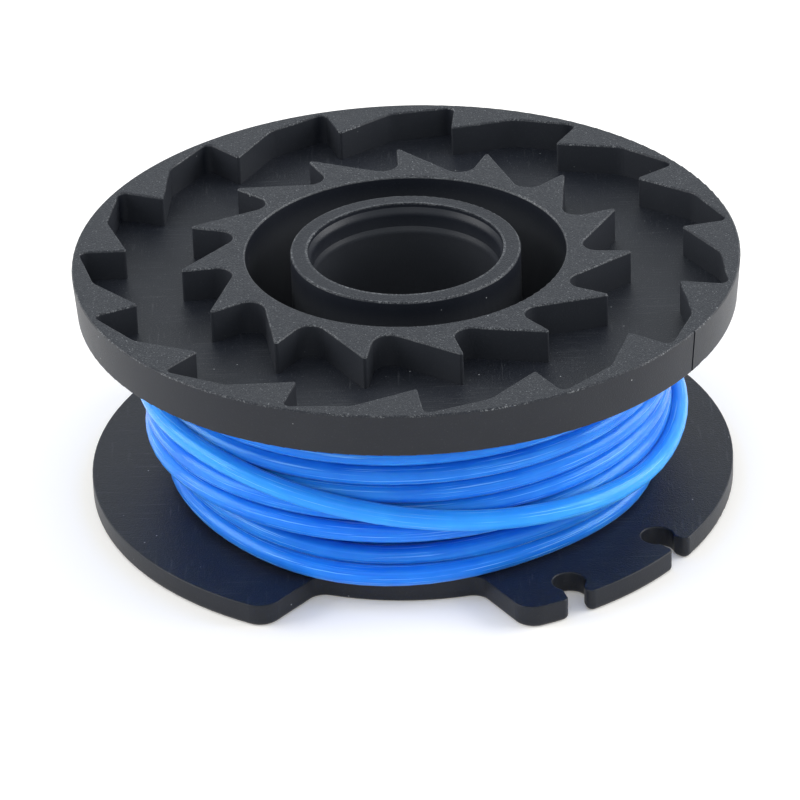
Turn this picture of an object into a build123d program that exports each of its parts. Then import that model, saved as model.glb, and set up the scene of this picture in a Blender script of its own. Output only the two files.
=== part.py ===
"""Trimmer line spool: a one-piece moulded spool and the nylon line wound on its drum.

Millimetres, +Z up along the spool's axis, origin on the axis at the underside of the lower flange.
"""
from math import atan2, cos, degrees, hypot, radians, sin, sqrt, tan
import os

from build123d import *

# Hub and drum, from the bore outwards
bore_diameter = 18.1
seat_step = 0.25
mouth_step = 0.35
hub_wall = 1.7
spring_gap = 4.45
drum_wall = 2.2

# Heights, from the underside upwards
lower_thickness = 2.3
channel_height = 18.5
rim_height = 4.5
ring_rise = 0.25
hub_rise = 0.4
mouth_depth = 0.45
seat_depth = 1.95
step_taper = 0.55
step_round = 0.8

# Top flange
flange_diameter = 65.0
rim_flare = 0.35
rim_round = 0.2
top_edge_round = 0.2

# Ratchet track in the top flange: teeth pointing in from the rim and out from the ring around the hub
tooth_count = 15
track_depth = 3.2
rim_wall = 0.15
outer_tooth_height = 4.8
outer_bend_drop = 1.5
outer_corner_angle = 0.8
outer_bend_angle = 12.6
outer_start_angle = 7.2
outer_tip_round = 0.25
outer_corner_round = 0.7
outer_bend_round = 2.0
ring_wall = 0.7
inner_tooth_height = 6.0
inner_start_angle = 19.4
inner_tip_round = 0.25
inner_root_round = 1.6

# Lower flange with its grip cut-out and the notches that park the line's ends
lower_diameter = 64.3
lower_edge_round = 0.15
lower_base_round = 0.5
cutout_azimuth = -94.3
cutout_inner_radius = 24.6
cutout_half_width = 7.8
cutout_flare_angle = 36.0
cutout_inner_round = 1.6
cutout_outer_round = 2.2
notch_azimuths = (-60.2, -36.6)
notch_mouth_azimuths = (-61.4, -37.1)
notch_hole_diameter = 3.2
notch_inset = 2.85
notch_neck_width = 2.1
notch_mouth_round = 0.65
notch_neck_round = 0.65

# Mould parting line down the rim, on opposite sides
parting_azimuth = -34.4
parting_width = 0.25
parting_depth = 0.12

# Wound line: full layers, then a last turn that crosses over the outermost layer
line_diameter = 2.0
line_layers = 4
short_rows = 2
line_clearance = 0.05
strand_facet = 0.6
crossing_lift = 1.6
crossing_rise = 2.8
crossing_height = 10.5
crossing_high_azimuth = 160.0

# How near a vertex or edge must lie to the place it is picked by
pick_reach = 0.02

# Radii that follow
bore_radius = bore_diameter / 2
seat_radius = bore_radius + seat_step
mouth_radius = seat_radius + mouth_step
hub_radius = mouth_radius + hub_wall
recess_radius = hub_radius + spring_gap
drum_radius = recess_radius + drum_wall
rim_radius = flange_diameter / 2
lower_radius = lower_diameter / 2
outer_corner_radius = rim_radius - rim_wall
outer_bend_radius = outer_corner_radius - outer_bend_drop
outer_tip_radius = outer_corner_radius - outer_tooth_height
inner_root_radius = recess_radius + ring_wall
inner_tip_radius = inner_root_radius + inner_tooth_height
track_mid_radius = (inner_tip_radius + outer_tip_radius) / 2
notch_radius = lower_radius - notch_inset

# Heights that follow
flange_underside = lower_thickness + channel_height
rim_top = flange_underside + rim_height
ring_top = rim_top + ring_rise
hub_top = rim_top + hub_rise
mouth_floor = hub_top - mouth_depth
seat_floor = mouth_floor - seat_depth
track_floor = rim_top - track_depth


def polar(radius, azimuth):
    """A plan point at a radius and an azimuth in degrees."""
    return (radius * cos(radians(azimuth)), radius * sin(radians(azimuth)))


def at_radius(radius):
    """A test for sketch vertices that lie at a radius from the axis."""
    return lambda vertex: abs(hypot(vertex.X, vertex.Y) - radius) < pick_reach


def at_point(point, reach):
    """A test for sketch vertices that lie within reach of a plan point."""
    return lambda vertex: hypot(vertex.X - point[0], vertex.Y - point[1]) < reach


def along_cutout(depth, width):
    """A plan point at a depth along the cut-out's axis and a width to its side."""
    axis = polar(1, cutout_azimuth)
    return (axis[0] * depth - axis[1] * width, axis[1] * depth + axis[0] * width)


def outline_edges(part, height, low_radius, high_radius):
    """The edges of a part at a height whose middles lie between two radii."""

    def on_outline(edge):
        middle = edge.center()
        return abs(middle.Z - height) < pick_reach and low_radius < hypot(middle.X, middle.Y) < high_radius

    return part.edges().filter_by(on_outline)


# Outlines of the ratchet track in plan
tooth_pitch = 360 / tooth_count
outer_outline = []
inner_outline = []
for tooth in range(tooth_count):
    outer_angle = outer_start_angle + tooth * tooth_pitch
    outer_outline.append(polar(outer_tip_radius, outer_angle))
    outer_outline.append(polar(outer_corner_radius, outer_angle + outer_corner_angle))
    outer_outline.append(polar(outer_bend_radius, outer_angle + outer_bend_angle))
    inner_angle = inner_start_angle + tooth * tooth_pitch
    inner_outline.append(polar(inner_tip_radius, inner_angle))
    inner_outline.append(polar(inner_root_radius, inner_angle))

# Grip cut-out in plan: it starts on a circle around the drum and flares out through the edge
cutout_start = sqrt(cutout_inner_radius**2 - cutout_half_width**2)
cutout_end = lower_radius + cutout_outer_round
cutout_mouth = cutout_half_width + (cutout_end - cutout_start) * tan(radians(cutout_flare_angle))
cutout_outline = (
    (0, 0),
    along_cutout(cutout_start, -cutout_half_width),
    along_cutout(cutout_end, -cutout_mouth),
    along_cutout(cutout_end, cutout_mouth),
    along_cutout(cutout_start, cutout_half_width),
)

# Spool
with BuildPart() as spool:
    # Lower flange
    with BuildSketch() as lower_plan:
        Circle(lower_radius)
        Polygon(*cutout_outline, align=None, mode=Mode.SUBTRACT)
        Circle(cutout_inner_radius)
        fillet(lower_plan.vertices().filter_by(at_radius(cutout_inner_radius)), cutout_inner_round)
        fillet(lower_plan.vertices().filter_by(at_radius(lower_radius)), cutout_outer_round)
        for notch_azimuth, mouth_azimuth in zip(notch_azimuths, notch_mouth_azimuths):
            notch_centre = polar(notch_radius, notch_azimuth)
            notch_mouth = polar(lower_radius, mouth_azimuth)
            neck_angle = degrees(atan2(notch_mouth[1] - notch_centre[1], notch_mouth[0] - notch_centre[0]))
            with Locations(notch_centre):
                Circle(notch_hole_diameter / 2, mode=Mode.SUBTRACT)
            with Locations(notch_mouth):
                Rectangle(2 * notch_inset, notch_neck_width, rotation=neck_angle, mode=Mode.SUBTRACT)
            rim_corners = lower_plan.vertices().filter_by(at_radius(lower_radius))
            fillet(rim_corners.filter_by(at_point(notch_mouth, notch_neck_width)), notch_mouth_round)
            neck_reach = notch_hole_diameter / 2 + pick_reach
            neck_corners = lower_plan.vertices().filter_by(at_point(notch_centre, neck_reach))
            fillet(neck_corners, notch_neck_round)
    extrude(amount=lower_thickness)
    flange_faces = spool.faces().filter_by(Plane.XY).sort_by(Axis.Z)
    upper_edges = flange_faces[-1].outer_wire().edges()
    base_edges = flange_faces[0].outer_wire().edges()
    fillet(upper_edges, lower_edge_round)
    fillet(base_edges, lower_base_round)

    # Drum, hub and top flange as one turned section
    with BuildSketch(Plane.XZ) as section:
        with BuildLine():
            Polyline(
                (hub_radius, 0),
                (drum_radius, 0),
                (drum_radius, flange_underside),
                (rim_radius, flange_underside),
                (rim_radius + rim_flare, rim_top),
                (track_mid_radius, rim_top),
                (track_mid_radius, ring_top),
                (recess_radius, ring_top),
                (recess_radius, lower_thickness),
                (hub_radius, lower_thickness),
                close=True,
            )
        make_face()
        fillet(section.vertices().filter_by(lambda vertex: vertex.X > rim_radius - rim_wall), rim_round)
        fillet(section.vertices().filter_by(at_point((recess_radius, ring_top), ring_rise)), top_edge_round)
    revolve(axis=Axis.Z)
    with BuildSketch(Plane.XY.offset(lower_thickness)):
        Circle(hub_radius)
    extrude(amount=hub_top - lower_thickness)
    fillet(spool.edges().group_by(Axis.Z)[-1], top_edge_round)

    # Bore, widening upwards over two tapered steps
    with BuildSketch(Plane.XZ) as bore:
        with BuildLine():
            Polyline(
                (0, 0),
                (bore_radius, 0),
                (bore_radius, seat_floor - step_taper),
                (seat_radius, seat_floor),
                (seat_radius, mouth_floor - step_taper),
                (mouth_radius, mouth_floor),
                (mouth_radius, hub_top),
                (0, hub_top),
                close=True,
            )
        make_face()
        for lip in ((bore_radius, seat_floor - step_taper), (seat_radius, mouth_floor - step_taper)):
            fillet(bore.vertices().filter_by(at_point(lip, pick_reach)), step_round)
    revolve(axis=Axis.Z, mode=Mode.SUBTRACT)

    # Ratchet track
    with BuildSketch(Plane.XY.offset(track_floor)) as track:
        Polygon(*outer_outline, align=None)
        fillet(track.vertices().filter_by(at_radius(outer_tip_radius)), outer_tip_round)
        fillet(track.vertices().filter_by(at_radius(outer_corner_radius)), outer_corner_round)
        fillet(track.vertices().filter_by(at_radius(outer_bend_radius)), outer_bend_round)
        Polygon(*inner_outline, align=None, mode=Mode.SUBTRACT)
        fillet(track.vertices().filter_by(at_radius(inner_tip_radius)), inner_tip_round)
        fillet(track.vertices().filter_by(at_radius(inner_root_radius)), inner_root_round)
    extrude(amount=hub_top - track_floor, mode=Mode.SUBTRACT)
    fillet(outline_edges(spool, rim_top, outer_tip_radius - rim_wall, outer_corner_radius), top_edge_round)
    fillet(outline_edges(spool, ring_top, inner_root_radius, inner_tip_radius), top_edge_round)

    # Parting line, shallow grooves that follow the lean of the rim
    for side in (parting_azimuth, parting_azimuth + 180):
        with BuildSketch(Plane.XZ.rotated((0, 0, side))):
            with BuildLine():
                Polyline(
                    (rim_radius - parting_depth, flange_underside),
                    (rim_radius + rim_flare, flange_underside),
                    (rim_radius + 2 * rim_flare, rim_top),
                    (rim_radius + rim_flare - parting_depth, rim_top),
                    close=True,
                )
            make_face()
        revolve(axis=Axis.Z, revolution_arc=degrees(parting_width / rim_radius), mode=Mode.SUBTRACT)
spool.part.label = "spool"

# Wound line
line_radius = line_diameter / 2
winding_radius = drum_radius + line_clearance
winding_low = lower_thickness + line_clearance
winding_high = flange_underside - line_clearance
row_count = int((winding_high - winding_low) / line_diameter)
row_pitch = (winding_high - winding_low) / row_count
outer_layer_radius = winding_radius + (line_layers - 0.5) * line_diameter
short_layer_radius = outer_layer_radius - line_diameter
crossing_radius = outer_layer_radius + crossing_lift
crossing_slope = crossing_rise / crossing_radius

with BuildPart() as trimmer_line:
    # All layers as one ring, with each outer turn an eight-sided ridge
    with BuildSketch(Plane.XZ):
        with BuildLine():
            base = Line((winding_radius, winding_high), (winding_radius, winding_low))
            end = base @ 1
            for row in range(row_count):
                turn_radius = short_layer_radius if row < short_rows else outer_layer_radius
                crest_radius = turn_radius + line_radius
                valley_radius = crest_radius - strand_facet
                low = winding_low + row * row_pitch
                if row in (0, short_rows):
                    Line(end, (valley_radius, low))
                ridge = Polyline(
                    (valley_radius, low),
                    (crest_radius, low + strand_facet),
                    (crest_radius, low + row_pitch - strand_facet),
                    (valley_radius, low + row_pitch),
                )
                end = ridge @ 1
            Line(end, base @ 0)
        make_face()
    revolve(axis=Axis.Z)

    # Last turn, a ring tilted across the outermost layer and bedded into it
    tilt = polar(-crossing_slope, crossing_high_azimuth)
    crossing = Plane((0, 0, crossing_height), z_dir=(tilt[0], tilt[1], 1))
    with BuildSketch(Plane(crossing.origin, x_dir=crossing.x_dir, z_dir=-crossing.y_dir)):
        with Locations((outer_layer_radius + crossing_lift / 2, 0)):
            strand = Rectangle(crossing_lift + line_diameter, line_diameter)
        chamfer(strand.vertices(), strand_facet)
    revolve(axis=Axis(crossing.origin, crossing.z_dir))
trimmer_line.part.label = "trimmer_line"

os.makedirs("parts", exist_ok=True)
export_step(spool.part, "parts/spool.step")
export_step(trimmer_line.part, "parts/trimmer_line.step")
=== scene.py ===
"""Looks of a trimmer line spool: its matte moulding, the nylon line wound on it and a plain studio."""
import math

import bpy
from bpy.props import FloatProperty, FloatVectorProperty, IntProperty, PointerProperty
from mathutils import Matrix, Vector, noise


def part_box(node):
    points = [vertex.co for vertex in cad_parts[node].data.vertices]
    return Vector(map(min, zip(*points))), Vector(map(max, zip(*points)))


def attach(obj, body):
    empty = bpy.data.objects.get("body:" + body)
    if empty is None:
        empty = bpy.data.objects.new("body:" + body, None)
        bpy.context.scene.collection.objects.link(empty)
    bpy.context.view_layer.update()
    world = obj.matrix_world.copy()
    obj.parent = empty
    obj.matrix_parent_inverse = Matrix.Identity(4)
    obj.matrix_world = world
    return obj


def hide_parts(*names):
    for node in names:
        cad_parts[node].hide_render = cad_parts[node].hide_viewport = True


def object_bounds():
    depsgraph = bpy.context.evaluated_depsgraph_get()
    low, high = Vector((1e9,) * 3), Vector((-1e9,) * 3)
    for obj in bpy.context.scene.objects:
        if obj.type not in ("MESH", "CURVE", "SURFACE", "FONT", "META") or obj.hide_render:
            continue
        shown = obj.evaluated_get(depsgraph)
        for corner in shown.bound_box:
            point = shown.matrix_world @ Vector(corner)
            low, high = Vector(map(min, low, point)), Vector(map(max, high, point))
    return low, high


bl_info = {
    "name": "Trimmer Line Spool",
    "version": (1, 0, 0),
    "blender": (4, 5, 0),
    "location": "3D View > Sidebar > Spool",
    "description": "Finishes a moulded trimmer line spool, winds its line and sets a plain studio around it",
    "category": "Object",
}

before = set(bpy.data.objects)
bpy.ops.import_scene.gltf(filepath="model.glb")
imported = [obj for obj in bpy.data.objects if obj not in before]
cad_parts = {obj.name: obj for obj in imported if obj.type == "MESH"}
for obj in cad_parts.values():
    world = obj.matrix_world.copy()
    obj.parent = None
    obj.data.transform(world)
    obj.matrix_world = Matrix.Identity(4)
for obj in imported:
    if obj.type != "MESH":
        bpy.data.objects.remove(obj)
cad_low, cad_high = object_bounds()
line_low, line_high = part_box("trimmer_line")

MM = 0.001

# Heights on the moulding in millimetres
LOWER_TOP = 2.3
FLANGE_UNDERSIDE = 20.8
RIM_TOP = 25.3
RING_TOP = 25.55
HUB_TOP = 25.7

# Radii on the moulding in millimetres
MOUTH_RADIUS = 9.65
HUB_RADIUS = 11.35
RECESS_RADIUS = 15.8
RING_TIP_RADIUS = 22.5
RIM_TIP_RADIUS = 27.55
RIM_RADIUS = 32.5

# Sizes of the moulding's marks in millimetres
GRAIN_SIZE = 0.14
CHIP_SIZE = 0.16
CHIPPED_PATCH_SIZE = 3.5
PATCH_SIZE = 7.0
SAND_SPACING = 0.34
SAND_SIZE = 0.08
DUST_SPACING = 1.1
DUST_SIZE = 0.09
EDGE_WIDTH = 0.2
EDGE_SOFTNESS = 0.03

# Lengths and widths of the line's streaks and scratches in millimetres, and how large its cloudy patches
# are; the paler streaks are partly painted highlights
STREAK_LENGTH = 14
STREAK_WIDTH = 0.35
SCRATCH_LENGTH = 9
SCRATCH_WIDTH = 0.14
CLOUD_SIZE = 4.0

# Colours of the line's scratches, its gloss and its soft sheen
SCRATCH_COLOUR = (0.32, 0.64, 1.0, 1.0)
GLOSS_TINT = (0.45, 0.9, 1.0, 1.0)
SHEEN_TINT = (0.45, 0.8, 1.0, 1.0)

# The last turn crosses the outer layer: azimuth in degrees, then radius and height in millimetres
LAST_TURN = (
    (75, 25.1, 7.4),
    (60, 25.4, 7.5),
    (45, 25.9, 7.8),
    (30, 26.4, 8.1),
    (15, 26.65, 8.3),
    (0, 26.65, 8.2),
    (-15, 26.65, 7.8),
    (-30, 26.65, 7.5),
    (-45, 26.65, 7.95),
    (-60, 26.65, 8.75),
    (-75, 26.65, 9.6),
    (-90, 26.65, 10.6),
    (-105, 26.65, 11.65),
    (-120, 26.65, 12.65),
    (-135, 26.6, 13.5),
    (-150, 26.45, 13.7),
    (-165, 26.3, 13.6),
    (-180, 26.25, 13.4),
    (-195, 26.25, 13.2),
    (-210, 26.3, 13.1),
    (-225, 26.4, 13.0),
    (-240, 26.5, 12.9),
    (-255, 26.6, 12.9),
)

# Share of the line's length after which its last turn begins, and how soon it has been painted paler:
# painted light on the outermost turn
LAST_TURN_START = 0.966
LAST_TURN_FADE = 0.004

# Control points in one turn of the line
TURN_POINTS = 24

# Turns that a layer lies on the lower flange before it climbs, and that it takes to reach the next layer
DWELL_TURNS = 0.45
LIFT_TURNS = 0.25

# Steps through the noise by which the turns stray, and how far they stray outwards against upwards
STRAY_TURN_STEP = 1.7
STRAY_LAYER_STEP = 9.1
STRAY_START = 0.5
STRAY_UPWARD_SHIFT = 4.3
STRAY_OUTWARD_SHARE = 0.6

# The turns press against each other, so the line's section stands a little over its gauge
PRESSED = 1.025

# Azimuth of the sag over the grip cut-out and how far it spreads to each side, in degrees
SAG_AZIMUTH = -103
SAG_SPREAD = 32

# Turns that sag over the grip cut-out, by layer and turn: how far out and how far up, in millimetres
CUTOUT_SAG = {(2, 0): (2.55, 0.0), (2, 1): (1.0, -0.74), (3, 5): (0.0, -0.3)}

# Lower turns lie slack at both sides: azimuth and spread in degrees, reach and top height in millimetres
SLACKS = ((-168, 38, 0.5, 13.0), (-25, 28, 0.9, 9.0))

# Height in millimetres over which the slack fades out below its top
SLACK_FADE = 4

# Softboxes: the setting that holds the power, then the place and the size in metres
SOFTBOXES = {
    "right_softbox": ("right_power", (0.55, 0.05, 0.24), 0.4),
    "left_softbox": ("left_power", (-0.55, 0.0, 0.24), 0.4),
    "front_softbox": ("front_power", (-0.1, -0.55, 0.5), 0.3),
}

# Width of the floor in metres, and of the camera's sensor in millimetres
FLOOR_WIDTH = 8
SENSOR_WIDTH = 36


class MouldingSettings(bpy.types.PropertyGroup):
    """The finish of the black moulding."""

    colour: FloatVectorProperty(
        name="Colour",
        description="Colour of the matte black plastic",
        default=(0.0095, 0.0113, 0.0168),
        min=0,
        max=1,
        subtype="COLOR",
    )
    # The pale colour of rubbed edges and dust, which painted light and painted highlights also fade towards
    worn_and_painted_light_colour: FloatVectorProperty(
        name="Worn colour",
        description="Colour of rubbed edges and dust",
        default=(0.4, 0.41, 0.42),
        min=0,
        max=1,
        subtype="COLOR",
    )
    roughness: FloatProperty(
        name="Roughness",
        description="Roughness of the moulded faces",
        default=0.42,
        min=0,
        max=1,
        subtype="FACTOR",
    )
    grain_depth: FloatProperty(
        name="Grain depth",
        description="Depth of the sandy grain on the top faces",
        default=0.08 * MM,
        unit="LENGTH",
    )


class WindingSettings(bpy.types.PropertyGroup):
    """The wound line."""

    line_diameter: FloatProperty(
        name="Line diameter",
        description="Gauge of the nylon line",
        default=2 * MM,
        unit="LENGTH",
    )
    line_length: FloatProperty(
        name="Line length",
        description="Length of line on the spool",
        default=4.75,
        unit="LENGTH",
    )
    drum_radius: FloatProperty(
        name="Drum radius",
        description="Radius that the innermost layer lies on",
        default=18.05 * MM,
        unit="LENGTH",
    )
    row_count: IntProperty(
        name="Rows",
        description="Turns that fit side by side between the flanges",
        default=9,
        min=1,
    )
    full_layers: IntProperty(
        name="Full layers",
        description="Layers that run from flange to flange",
        default=3,
        min=1,
    )
    outer_turns: IntProperty(
        name="Outer turns",
        description="Turns in the outermost layer",
        default=6,
        min=1,
    )
    wander: FloatProperty(
        name="Wander",
        description="How far a turn strays from an even winding",
        default=0.05 * MM,
        unit="LENGTH",
    )
    colour: FloatVectorProperty(
        name="Colour",
        description="Colour of the nylon",
        default=(0.01, 0.165, 0.71),
        min=0,
        max=1,
        subtype="COLOR",
    )
    # Paler colour of the streaks and clouds, and of the last turn, where it is painted light
    pale_and_painted_light_colour: FloatVectorProperty(
        name="Rubbed colour",
        description="Paler colour of streaks and of the last turn",
        default=(0.035, 0.33, 0.97),
        min=0,
        max=1,
        subtype="COLOR",
    )
    roughness: FloatProperty(
        name="Roughness",
        description="Roughness of the drawn nylon",
        default=0.23,
        min=0,
        max=1,
        subtype="FACTOR",
    )


class StudioSettings(bpy.types.PropertyGroup):
    """Floor, light and camera."""

    floor_colour: FloatVectorProperty(
        name="Floor colour",
        description="Colour of the pale floor",
        default=(0.97, 0.935, 0.895),
        min=0,
        max=1,
        subtype="COLOR",
    )
    floor_glow: FloatProperty(
        name="Floor glow",
        description="Light that the back-lit floor gives by itself",
        default=0.12,
        min=0,
    )
    sky_strength: FloatProperty(
        name="Surround",
        description="Brightness of the white surround",
        default=1.0,
        min=0,
    )
    sky_colour: FloatVectorProperty(
        name="Surround colour",
        description="Colour of the white surround, a little cool",
        default=(0.91, 0.96, 1.0),
        min=0,
        max=1,
        subtype="COLOR",
    )
    right_power: FloatProperty(
        name="Right light",
        description="Power of the softbox on the right, in watts",
        default=2.4,
        min=0,
    )
    left_power: FloatProperty(
        name="Left light",
        description="Power of the softbox on the left, in watts",
        default=1.9,
        min=0,
    )
    front_power: FloatProperty(
        name="Front light",
        description="Power of the softbox above the front, in watts",
        default=0.25,
        min=0,
    )
    camera_place: FloatVectorProperty(
        name="Camera place",
        description="Where the camera stands",
        default=(-1.061 * MM, -440.802 * MM, 256.266 * MM),
        subtype="TRANSLATION",
        unit="LENGTH",
    )
    camera_tilt: FloatProperty(
        name="Camera tilt",
        description="How far the camera looks down",
        default=math.radians(29.33),
        subtype="ANGLE",
    )
    camera_roll: FloatProperty(
        name="Camera roll",
        description="How far the camera leans over",
        default=math.radians(-2.01),
        subtype="ANGLE",
    )
    lens: FloatProperty(
        name="Lens",
        description="Focal length in millimetres on a 36 mm sensor",
        default=227.92,
        min=1,
    )


class Shade:
    """A shader socket that sums work on: each operator adds a Math node."""

    def __init__(self, finish, socket):
        self.finish = finish
        self.socket = socket

    def math(self, operation, *values):
        return self.finish.node("ShaderNodeMath", {"operation": operation}, dict(enumerate(values)))

    def __add__(self, other):
        return self.math("ADD", self, other)

    def __sub__(self, other):
        return self.math("SUBTRACT", self, other)

    def __rsub__(self, other):
        return self.math("SUBTRACT", other, self)

    def __mul__(self, other):
        return self.math("MULTIPLY", self, other)

    __radd__ = __add__
    __rmul__ = __mul__

    def ramp(self, low, high):
        """0 below low, 1 above high and a smooth step between them."""
        return self.finish.node(
            "ShaderNodeMapRange",
            {"interpolation_type": "SMOOTHSTEP"},
            {"Value": self, "From Min": low, "From Max": high},
        )

    def band(self, low, high, soft):
        """1 between low and high, falling to 0 over a soft edge inside them."""
        return self.ramp(low, low + soft) * (1 - self.ramp(high - soft, high))


class Finish:
    """A material and the one way its nodes are added."""

    def __init__(self, name):
        self.material = bpy.data.materials.new(name)
        self.material.use_nodes = True
        self.tree = self.material.node_tree
        self.tree.nodes.clear()

    def node(self, kind, settings=None, sockets=None, output=0):
        """Adds a node with its settings, then its sockets' values or links, and returns one output."""
        node = self.tree.nodes.new(kind)
        for name, value in (settings or {}).items():
            setattr(node, name, value)
        for name, value in (sockets or {}).items():
            if isinstance(value, Shade):
                self.tree.links.new(value.socket, node.inputs[name])
            else:
                node.inputs[name].default_value = value
        return Shade(self, node.outputs[output]) if node.outputs else None

    def place(self):
        """The surface's place on the object, in millimetres."""
        metres = self.node("ShaderNodeTexCoord", output="Object")
        return self.node("ShaderNodeVectorMath", {"operation": "SCALE"}, {0: metres, "Scale": 1 / MM})

    def stretch(self, place, scale, turn=(0, 0, 0)):
        """A place turned and stretched for a streaky pattern."""
        return self.node("ShaderNodeMapping", None, {"Vector": place, "Scale": scale, "Rotation": turn})

    def height(self, place):
        """How high a place lies."""
        return self.node("ShaderNodeSeparateXYZ", None, {"Vector": place}, output="Z")

    def upward(self):
        """How far the surface faces up."""
        normal = self.node("ShaderNodeTexCoord", output="Normal")
        return self.node("ShaderNodeSeparateXYZ", None, {"Vector": normal}, output="Z")

    def radius(self, place):
        """How far a place lies from the axis."""
        flat = self.node("ShaderNodeVectorMath", {"operation": "MULTIPLY"}, {0: place, 1: (1, 1, 0)})
        return self.node("ShaderNodeVectorMath", {"operation": "LENGTH"}, {0: flat}, output="Value")

    def cloud(self, place, size, detail=2.0):
        """A soft noise with features of a size in millimetres."""
        return self.node("ShaderNodeTexNoise", None, {"Vector": place, "Scale": 1 / size, "Detail": detail})

    def specks(self, place, spacing, size, share):
        """Scattered specks of a size, both in millimetres, in a share of the cells."""
        cells = {"Vector": place, "Scale": 1 / spacing}
        distance = self.node("ShaderNodeTexVoronoi", None, cells)
        lot = self.node("ShaderNodeTexVoronoi", None, cells, output="Color")
        chosen = self.node("ShaderNodeSeparateColor", None, {"Color": lot}).ramp(1 - share, 1 - share * 0.8)
        return (1 - distance.ramp(size / spacing * 0.4, size / spacing)) * chosen

    def blend(self, factor, first, second):
        """A mix of two colours."""
        return self.node(
            "ShaderNodeMix",
            {"data_type": "RGBA"},
            {0: factor, 6: first, 7: second},
            output=2,
        )

    def surface(self, **sockets):
        """Ends the material in one principled surface."""
        named = {}
        for name, value in sockets.items():
            named[name.replace("_", " ").title().replace("Ior", "IOR")] = value
        shader = self.node("ShaderNodeBsdfPrincipled", None, named)
        self.node("ShaderNodeOutputMaterial", None, {"Surface": shader})
        return self.material


def opaque(colour):
    """A colour property as the four numbers a socket takes."""
    return (*colour, 1.0)


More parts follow.
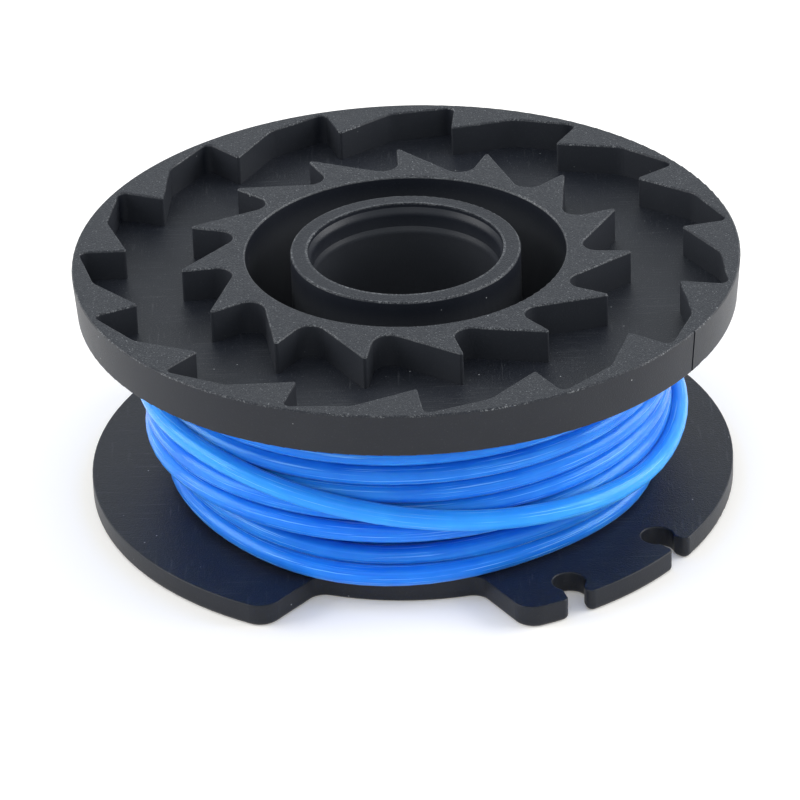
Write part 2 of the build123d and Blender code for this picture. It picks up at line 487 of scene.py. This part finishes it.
def moulded_plastic(moulding):
    """Matte black plastic with a fine mould grain, rubbed edges, scuffs and specks of dust, and painted
    light in its hollows, on its tops, walls and recess edge, with painted shade on the lower flange.
    """
    finish = Finish("moulded_plastic")
    place = finish.place()
    height = finish.height(place)
    radius = finish.radius(place)
    black = opaque(moulding.colour)
    worn_and_painted_light = opaque(moulding.worn_and_painted_light_colour)
    grain = finish.cloud(place, GRAIN_SIZE, 3.0)
    patches = finish.cloud(place, PATCH_SIZE, 3.0)

    # Kinds of face: the highest ones, those that face up, the hub's and the walls of the tooth track
    tops = height.ramp(RIM_TOP - 0.3, RIM_TOP - 0.1)
    flats = finish.upward().ramp(0.5, 0.9)
    hub = 1 - radius.ramp(HUB_RADIUS + 0.25, HUB_RADIUS + 0.65)
    above_line = height.ramp(FLANGE_UNDERSIDE - 0.3, FLANGE_UNDERSIDE + 0.7)
    walls = (1 - flats) * above_line * radius.band(RECESS_RADIUS + 0.4, RIM_RADIUS - 0.3, 0.4)

    # Top faces are the sandiest and driest, walls the least; the lower flange's top gets less grain, a
    # painted shade under the upper flange
    sandy = flats * (tops * 0.5 + 0.3) + 0.2
    raised = height.ramp(LOWER_TOP + 0.7, LOWER_TOP + 2.7)
    grain_share_with_painted_shade = (flats * (tops * 0.65 + raised * 0.15 + 0.08) + 0.07) * (1 - hub * 0.6)
    tone_and_painted_light = grain.ramp(0.48, 0.72) * grain_share_with_painted_shade * 0.12 + patches.ramp(0.4, 0.7) * 0.006
    # Top faces away from the hub and the walls of the tooth track are painted lighter: painted light
    tone_and_painted_light += tops * flats * (1 - hub) * 0.011 + walls * 0.03

    # Scuffs run two ways over the flat faces, each in patches of its own
    across = finish.cloud(finish.stretch(place, (0.2, 5.0, 1.0), (0, 0, 0.5)), 1.0, 3.0).ramp(0.56, 0.7)
    along = finish.cloud(finish.stretch(place, (4.0, 0.25, 1.0), (0, 0, 0.2)), 1.0, 3.0).ramp(0.58, 0.7)
    crossed = across * patches.ramp(0.45, 0.6) + along * (1 - patches.ramp(0.4, 0.52))
    scuffs = crossed * flats * (1 - tops)
    sand = finish.specks(place, SAND_SPACING, SAND_SIZE, 0.6) * grain_share_with_painted_shade
    dust = finish.specks(place, DUST_SPACING, DUST_SIZE, 0.13)

    # The spring recess and the bore are painted a little paler in their depth: painted light that lifts
    # their shade
    recess = radius.band(HUB_RADIUS - 0.05, RECESS_RADIUS + 0.1, 0.05)
    bore = 1 - radius.ramp(MOUTH_RADIUS + 0.05, MOUTH_RADIUS + 0.15)
    deep = 1 - height.ramp(RIM_TOP - 3.5, RIM_TOP - 0.4)
    painted_light_in_hollows = (recess * 0.085 + bore * 0.045) * deep

    # Edges that handling has rubbed, and a painted highlight along the recess edge
    rim_edge = height.band(RIM_TOP - EDGE_WIDTH, RIM_TOP, EDGE_SOFTNESS)
    rim_edge *= radius.ramp(RIM_TIP_RADIUS - 0.55, RIM_TIP_RADIUS - 0.45)
    ring_edge = height.band(RING_TOP - EDGE_WIDTH, RING_TOP, EDGE_SOFTNESS)
    ring_edge *= radius.band(RECESS_RADIUS - 0.1, RING_TIP_RADIUS + 0.5, 0.1)
    # A pale line along the recess edge: painted highlight
    painted_recess_edge_highlight = height.band(RING_TOP - EDGE_WIDTH - 0.05, RING_TOP, EDGE_SOFTNESS)
    painted_recess_edge_highlight *= radius.band(RECESS_RADIUS - 0.1, RECESS_RADIUS + 0.15, 0.04)
    hub_edge = radius.band(HUB_RADIUS - 0.25, HUB_RADIUS + 0.05, 0.05)
    hub_edge += radius.band(MOUTH_RADIUS - 0.05, MOUTH_RADIUS + 0.25, 0.05)
    hub_edge *= height.ramp(HUB_TOP - EDGE_WIDTH, HUB_TOP - EDGE_WIDTH / 2)
    chipped = finish.cloud(place, CHIPPED_PATCH_SIZE, 2.0).ramp(0.4, 0.62)
    chips = finish.cloud(place, CHIP_SIZE, 3.0).ramp(0.5, 0.62) * chipped
    rubbed_and_highlit = rim_edge * (chips * 0.9 + grain.ramp(0.45, 0.7) * 0.15)
    rubbed_and_highlit += (ring_edge + hub_edge) * (chips * 0.7 + grain.ramp(0.4, 0.65) * 0.4) + painted_recess_edge_highlight * 0.2

    colour = finish.blend(tone_and_painted_light + painted_light_in_hollows, black, worn_and_painted_light)
    colour = finish.blend(rubbed_and_highlit * 0.4, colour, worn_and_painted_light)
    colour = finish.blend(sand * 0.36 + dust * 0.85 + scuffs * 0.05, colour, worn_and_painted_light)
    bump = finish.node(
        "ShaderNodeBump",
        None,
        {"Height": grain * sandy, "Strength": 1.0, "Distance": moulding.grain_depth},
    )
    roughness = patches * 0.12 + grain * 0.16 + (moulding.roughness - 0.14)
    return finish.surface(base_color=colour, roughness=roughness, normal=bump, ior=1.345)


def drawn_nylon(winding):
    """Blue nylon line, streaked along its length and a little clouded, that lets some light through; its
    last turn is painted paler as painted light.
    """
    finish = Finish("drawn_nylon")
    along = finish.node("ShaderNodeTexCoord", output="UV")
    blue = opaque(winding.colour)
    pale = opaque(winding.pale_and_painted_light_colour)
    length = winding.line_length / MM
    girth = math.pi * winding.line_diameter / MM

    clouds = finish.cloud(finish.place(), CLOUD_SIZE)
    # Pale streaks along the line, partly draw marks and partly painted highlights
    streaked = finish.stretch(along, (length / STREAK_LENGTH, girth / STREAK_WIDTH, 1))
    streaks = finish.cloud(streaked, 1.0, 3.0)
    scratched = finish.stretch(along, (length / SCRATCH_LENGTH, girth / SCRATCH_WIDTH, 1))
    scratches = finish.cloud(scratched, 1.0, 1.0)
    run = finish.node("ShaderNodeSeparateXYZ", None, {"Vector": along}, output="X")
    # The outermost turn is painted paler: painted light
    painted_light_last_turn = run.ramp(LAST_TURN_START - LAST_TURN_FADE, LAST_TURN_START + LAST_TURN_FADE)

    # Paleness from the clouds and streaks, and painted light on the last turn
    light = clouds.ramp(0.35, 0.75) * 0.2 + streaks.ramp(0.45, 0.8) * 0.35 + painted_light_last_turn * 0.7
    colour = finish.blend(light, blue, pale)
    colour = finish.blend(scratches.ramp(0.6, 0.73) * 0.4, colour, SCRATCH_COLOUR)
    roughness = clouds * 0.1 + scratches.ramp(0.5, 0.8) * 0.15 + (winding.roughness - 0.08)
    return finish.surface(
        base_color=colour,
        roughness=roughness,
        ior=1.42,
        specular_tint=GLOSS_TINT,
        sheen_weight=0.15,
        sheen_roughness=0.4,
        sheen_tint=SHEEN_TINT,
        subsurface_weight=0.85,
        subsurface_radius=(0.2, 0.55, 1.0),
        subsurface_scale=2.6 * MM,
    )


def eased(share):
    """A smooth step from 0 to 1."""
    share = min(max(share, 0.0), 1.0)
    return share * share * (3 - 2 * share)


def nearness(azimuth, middle, spread):
    """1 at the middle azimuth, falling off smoothly over a spread to each side, all in degrees."""
    around = (azimuth - middle + 180) % 360 - 180
    return math.exp(-((around / spread) ** 2))


def wound_route(winding):
    """The line's control points, from its inner end on the drum to its free end."""
    line_radius = winding.line_diameter / 2
    low = line_low.z + line_radius
    high = line_high.z - line_radius
    pitch = (high - low) / (winding.row_count - 1)
    # A quadratic spline runs inside its control points by this share
    reach = 4 / (3 + math.cos(math.radians(360 / TURN_POINTS)))

    turns = [winding.row_count] * winding.full_layers + [winding.outer_turns]
    stations = []
    for layer, layer_turns in enumerate(turns):
        upward = layer % 2 == 0
        dwell = DWELL_TURNS if upward else 0.0
        outermost = layer == len(turns) - 1
        for index in range(layer_turns * TURN_POINTS):
            turn = index / TURN_POINTS
            azimuth = 90 - 360 * turn
            climb = min(max(pitch * (turn - dwell), 0), high - low)
            lift = 0 if outermost else eased((turn - layer_turns + LIFT_TURNS) / LIFT_TURNS)
            radius = winding.drum_radius + (layer + 0.5 + lift) * winding.line_diameter
            height = low + climb if upward else high - climb
            if (layer, int(turn)) in CUTOUT_SAG:
                front = nearness(azimuth, SAG_AZIMUTH, SAG_SPREAD)
                out, up = CUTOUT_SAG[layer, int(turn)]
                radius += out * MM * front
                height += up * MM * front
            else:
                stray = Vector((turn * STRAY_TURN_STEP, layer * STRAY_LAYER_STEP, STRAY_START))
                radius += winding.wander * STRAY_OUTWARD_SHARE * noise.noise(stray)
                height += winding.wander * noise.noise(stray + Vector((0, STRAY_UPWARD_SHIFT, 0)))
            if layer >= winding.full_layers - 1:
                for middle, spread, out, top in SLACKS:
                    slack = nearness(azimuth, middle, spread) * eased((top - height / MM) / SLACK_FADE)
                    radius += out * MM * slack
            stations.append((azimuth, radius, min(max(height, low), high)))
    stations += [(azimuth, radius * MM, height * MM) for azimuth, radius, height in LAST_TURN]

    points = []
    for azimuth, radius, height in stations:
        angle = math.radians(azimuth)
        points.append(Vector((radius * reach * math.cos(angle), radius * reach * math.sin(angle), height)))
    return points


class SPOOL_OT_finish_moulding(bpy.types.Operator):
    """Gives the moulded spool its black plastic"""

    bl_idname = "spool.finish_moulding"
    bl_label = "Finish moulding"

    def execute(self, context):
        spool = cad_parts["spool"]
        spool.data.materials.clear()
        spool.data.materials.append(moulded_plastic(context.scene.spool_moulding))
        return {"FINISHED"}


class SPOOL_OT_wind_line(bpy.types.Operator):
    """Winds the nylon line onto the drum"""

    bl_idname = "spool.wind_line"
    bl_label = "Wind line"

    def execute(self, context):
        winding = context.scene.spool_winding
        points = wound_route(winding)
        bpy.ops.object.select_all(action="DESELECT")
        curve = bpy.data.curves.new("wound_line", "CURVE")
        curve.dimensions = "3D"
        spline = curve.splines.new("NURBS")
        spline.points.add(len(points) - 1)
        for control, point in zip(spline.points, points):
            control.co = (*point, 1.0)
        spline.order_u = 3
        spline.use_endpoint_u = True
        spline.resolution_u = 3
        curve.bevel_depth = winding.line_diameter / 2 * PRESSED
        curve.bevel_resolution = 6
        curve.use_fill_caps = True
        curve.materials.append(drawn_nylon(winding))
        line = bpy.data.objects.new("wound_line", curve)
        context.scene.collection.objects.link(line)
        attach(line, "root")
        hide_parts("trimmer_line")
        return {"FINISHED"}


class SPOOL_OT_set_studio(bpy.types.Operator):
    """Sets the floor, the soft light and the camera"""

    bl_idname = "spool.set_studio"
    bl_label = "Set studio"

    def execute(self, context):
        studio = context.scene.spool_studio
        self.lay_floor(studio)
        self.light_surround(context, studio)
        for name, (power, place, size) in SOFTBOXES.items():
            self.hang_softbox(name, place, size, getattr(studio, power))
        self.place_camera(context, studio)
        return {"FINISHED"}

    def lay_floor(self, studio):
        """A wide pale floor under the spool."""
        finish = Finish("pale_floor")
        colour = opaque(studio.floor_colour)
        bpy.ops.object.select_all(action="DESELECT")
        bpy.ops.mesh.primitive_plane_add(size=FLOOR_WIDTH, location=(0, 0, cad_low.z))
        floor = bpy.context.object
        floor.name = "floor"
        paint = finish.surface(
            base_color=colour,
            roughness=0.8,
            emission_color=colour,
            emission_strength=studio.floor_glow,
        )
        floor.data.materials.append(paint)

    def light_surround(self, context, studio):
        """An even white surround, shown without a film curve."""
        world = bpy.data.worlds.new("surround")
        world.use_nodes = True
        background = world.node_tree.nodes["Background"]
        background.inputs["Color"].default_value = opaque(studio.sky_colour)
        background.inputs["Strength"].default_value = studio.sky_strength
        context.scene.world = world
        context.scene.view_settings.view_transform = "Standard"

    def hang_softbox(self, name, place, size, power):
        """A square softbox aimed at the spool."""
        centre = (cad_low + cad_high) / 2
        bpy.ops.object.select_all(action="DESELECT")
        bpy.ops.object.light_add(type="AREA", location=place)
        light = bpy.context.object
        light.name = name
        light.rotation_euler = (centre - Vector(place)).to_track_quat("-Z", "Y").to_euler()
        light.data.size = size
        light.data.energy = power

    def place_camera(self, context, studio):
        """The camera where the spool is seen from above its front."""
        tilt = studio.camera_tilt
        roll = studio.camera_roll
        forward = Vector((0, math.cos(tilt), -math.sin(tilt)))
        upright = Vector((0, math.sin(tilt), math.cos(tilt)))
        sideways = Vector((1, 0, 0))
        right = math.cos(roll) * sideways + math.sin(roll) * upright
        up = math.cos(roll) * upright - math.sin(roll) * sideways
        turned = Matrix((right, up, -forward)).transposed().to_4x4()
        bpy.ops.object.select_all(action="DESELECT")
        bpy.ops.object.camera_add()
        camera = bpy.context.object
        camera.name = "camera"
        camera.matrix_world = Matrix.Translation(studio.camera_place) @ turned
        camera.data.sensor_width = SENSOR_WIDTH
        camera.data.lens = studio.lens
        camera.data.clip_start = 0.01
        camera.data.clip_end = 20
        context.scene.camera = camera


class VIEW3D_PT_trimmer_spool(bpy.types.Panel):
    """The spool's settings and steps"""

    bl_label = "Trimmer line spool"
    bl_space_type = "VIEW_3D"
    bl_region_type = "UI"
    bl_category = "Spool"

    def draw(self, context):
        for settings in ("spool_moulding", "spool_winding", "spool_studio"):
            group = getattr(context.scene, settings)
            for name in group.__annotations__:
                self.layout.prop(group, name)
        for operator in STEPS:
            self.layout.operator(operator.bl_idname)


GROUPS = {
    "spool_moulding": MouldingSettings,
    "spool_winding": WindingSettings,
    "spool_studio": StudioSettings,
}
STEPS = (SPOOL_OT_finish_moulding, SPOOL_OT_wind_line, SPOOL_OT_set_studio)
CLASSES = (*GROUPS.values(), *STEPS, VIEW3D_PT_trimmer_spool)


def register():
    """Makes the settings, the steps and the panel known."""
    for cls in CLASSES:
        bpy.utils.register_class(cls)
    for name, group in GROUPS.items():
        setattr(bpy.types.Scene, name, PointerProperty(type=group))


def unregister():
    """Takes them out again."""
    for name in GROUPS:
        delattr(bpy.types.Scene, name)
    for cls in reversed(CLASSES):
        bpy.utils.unregister_class(cls)


def main():
    """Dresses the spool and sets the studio."""
    register()
    bpy.ops.spool.finish_moulding()
    bpy.ops.spool.wind_line()
    bpy.ops.spool.set_studio()


if __name__ == "__main__":
    main()
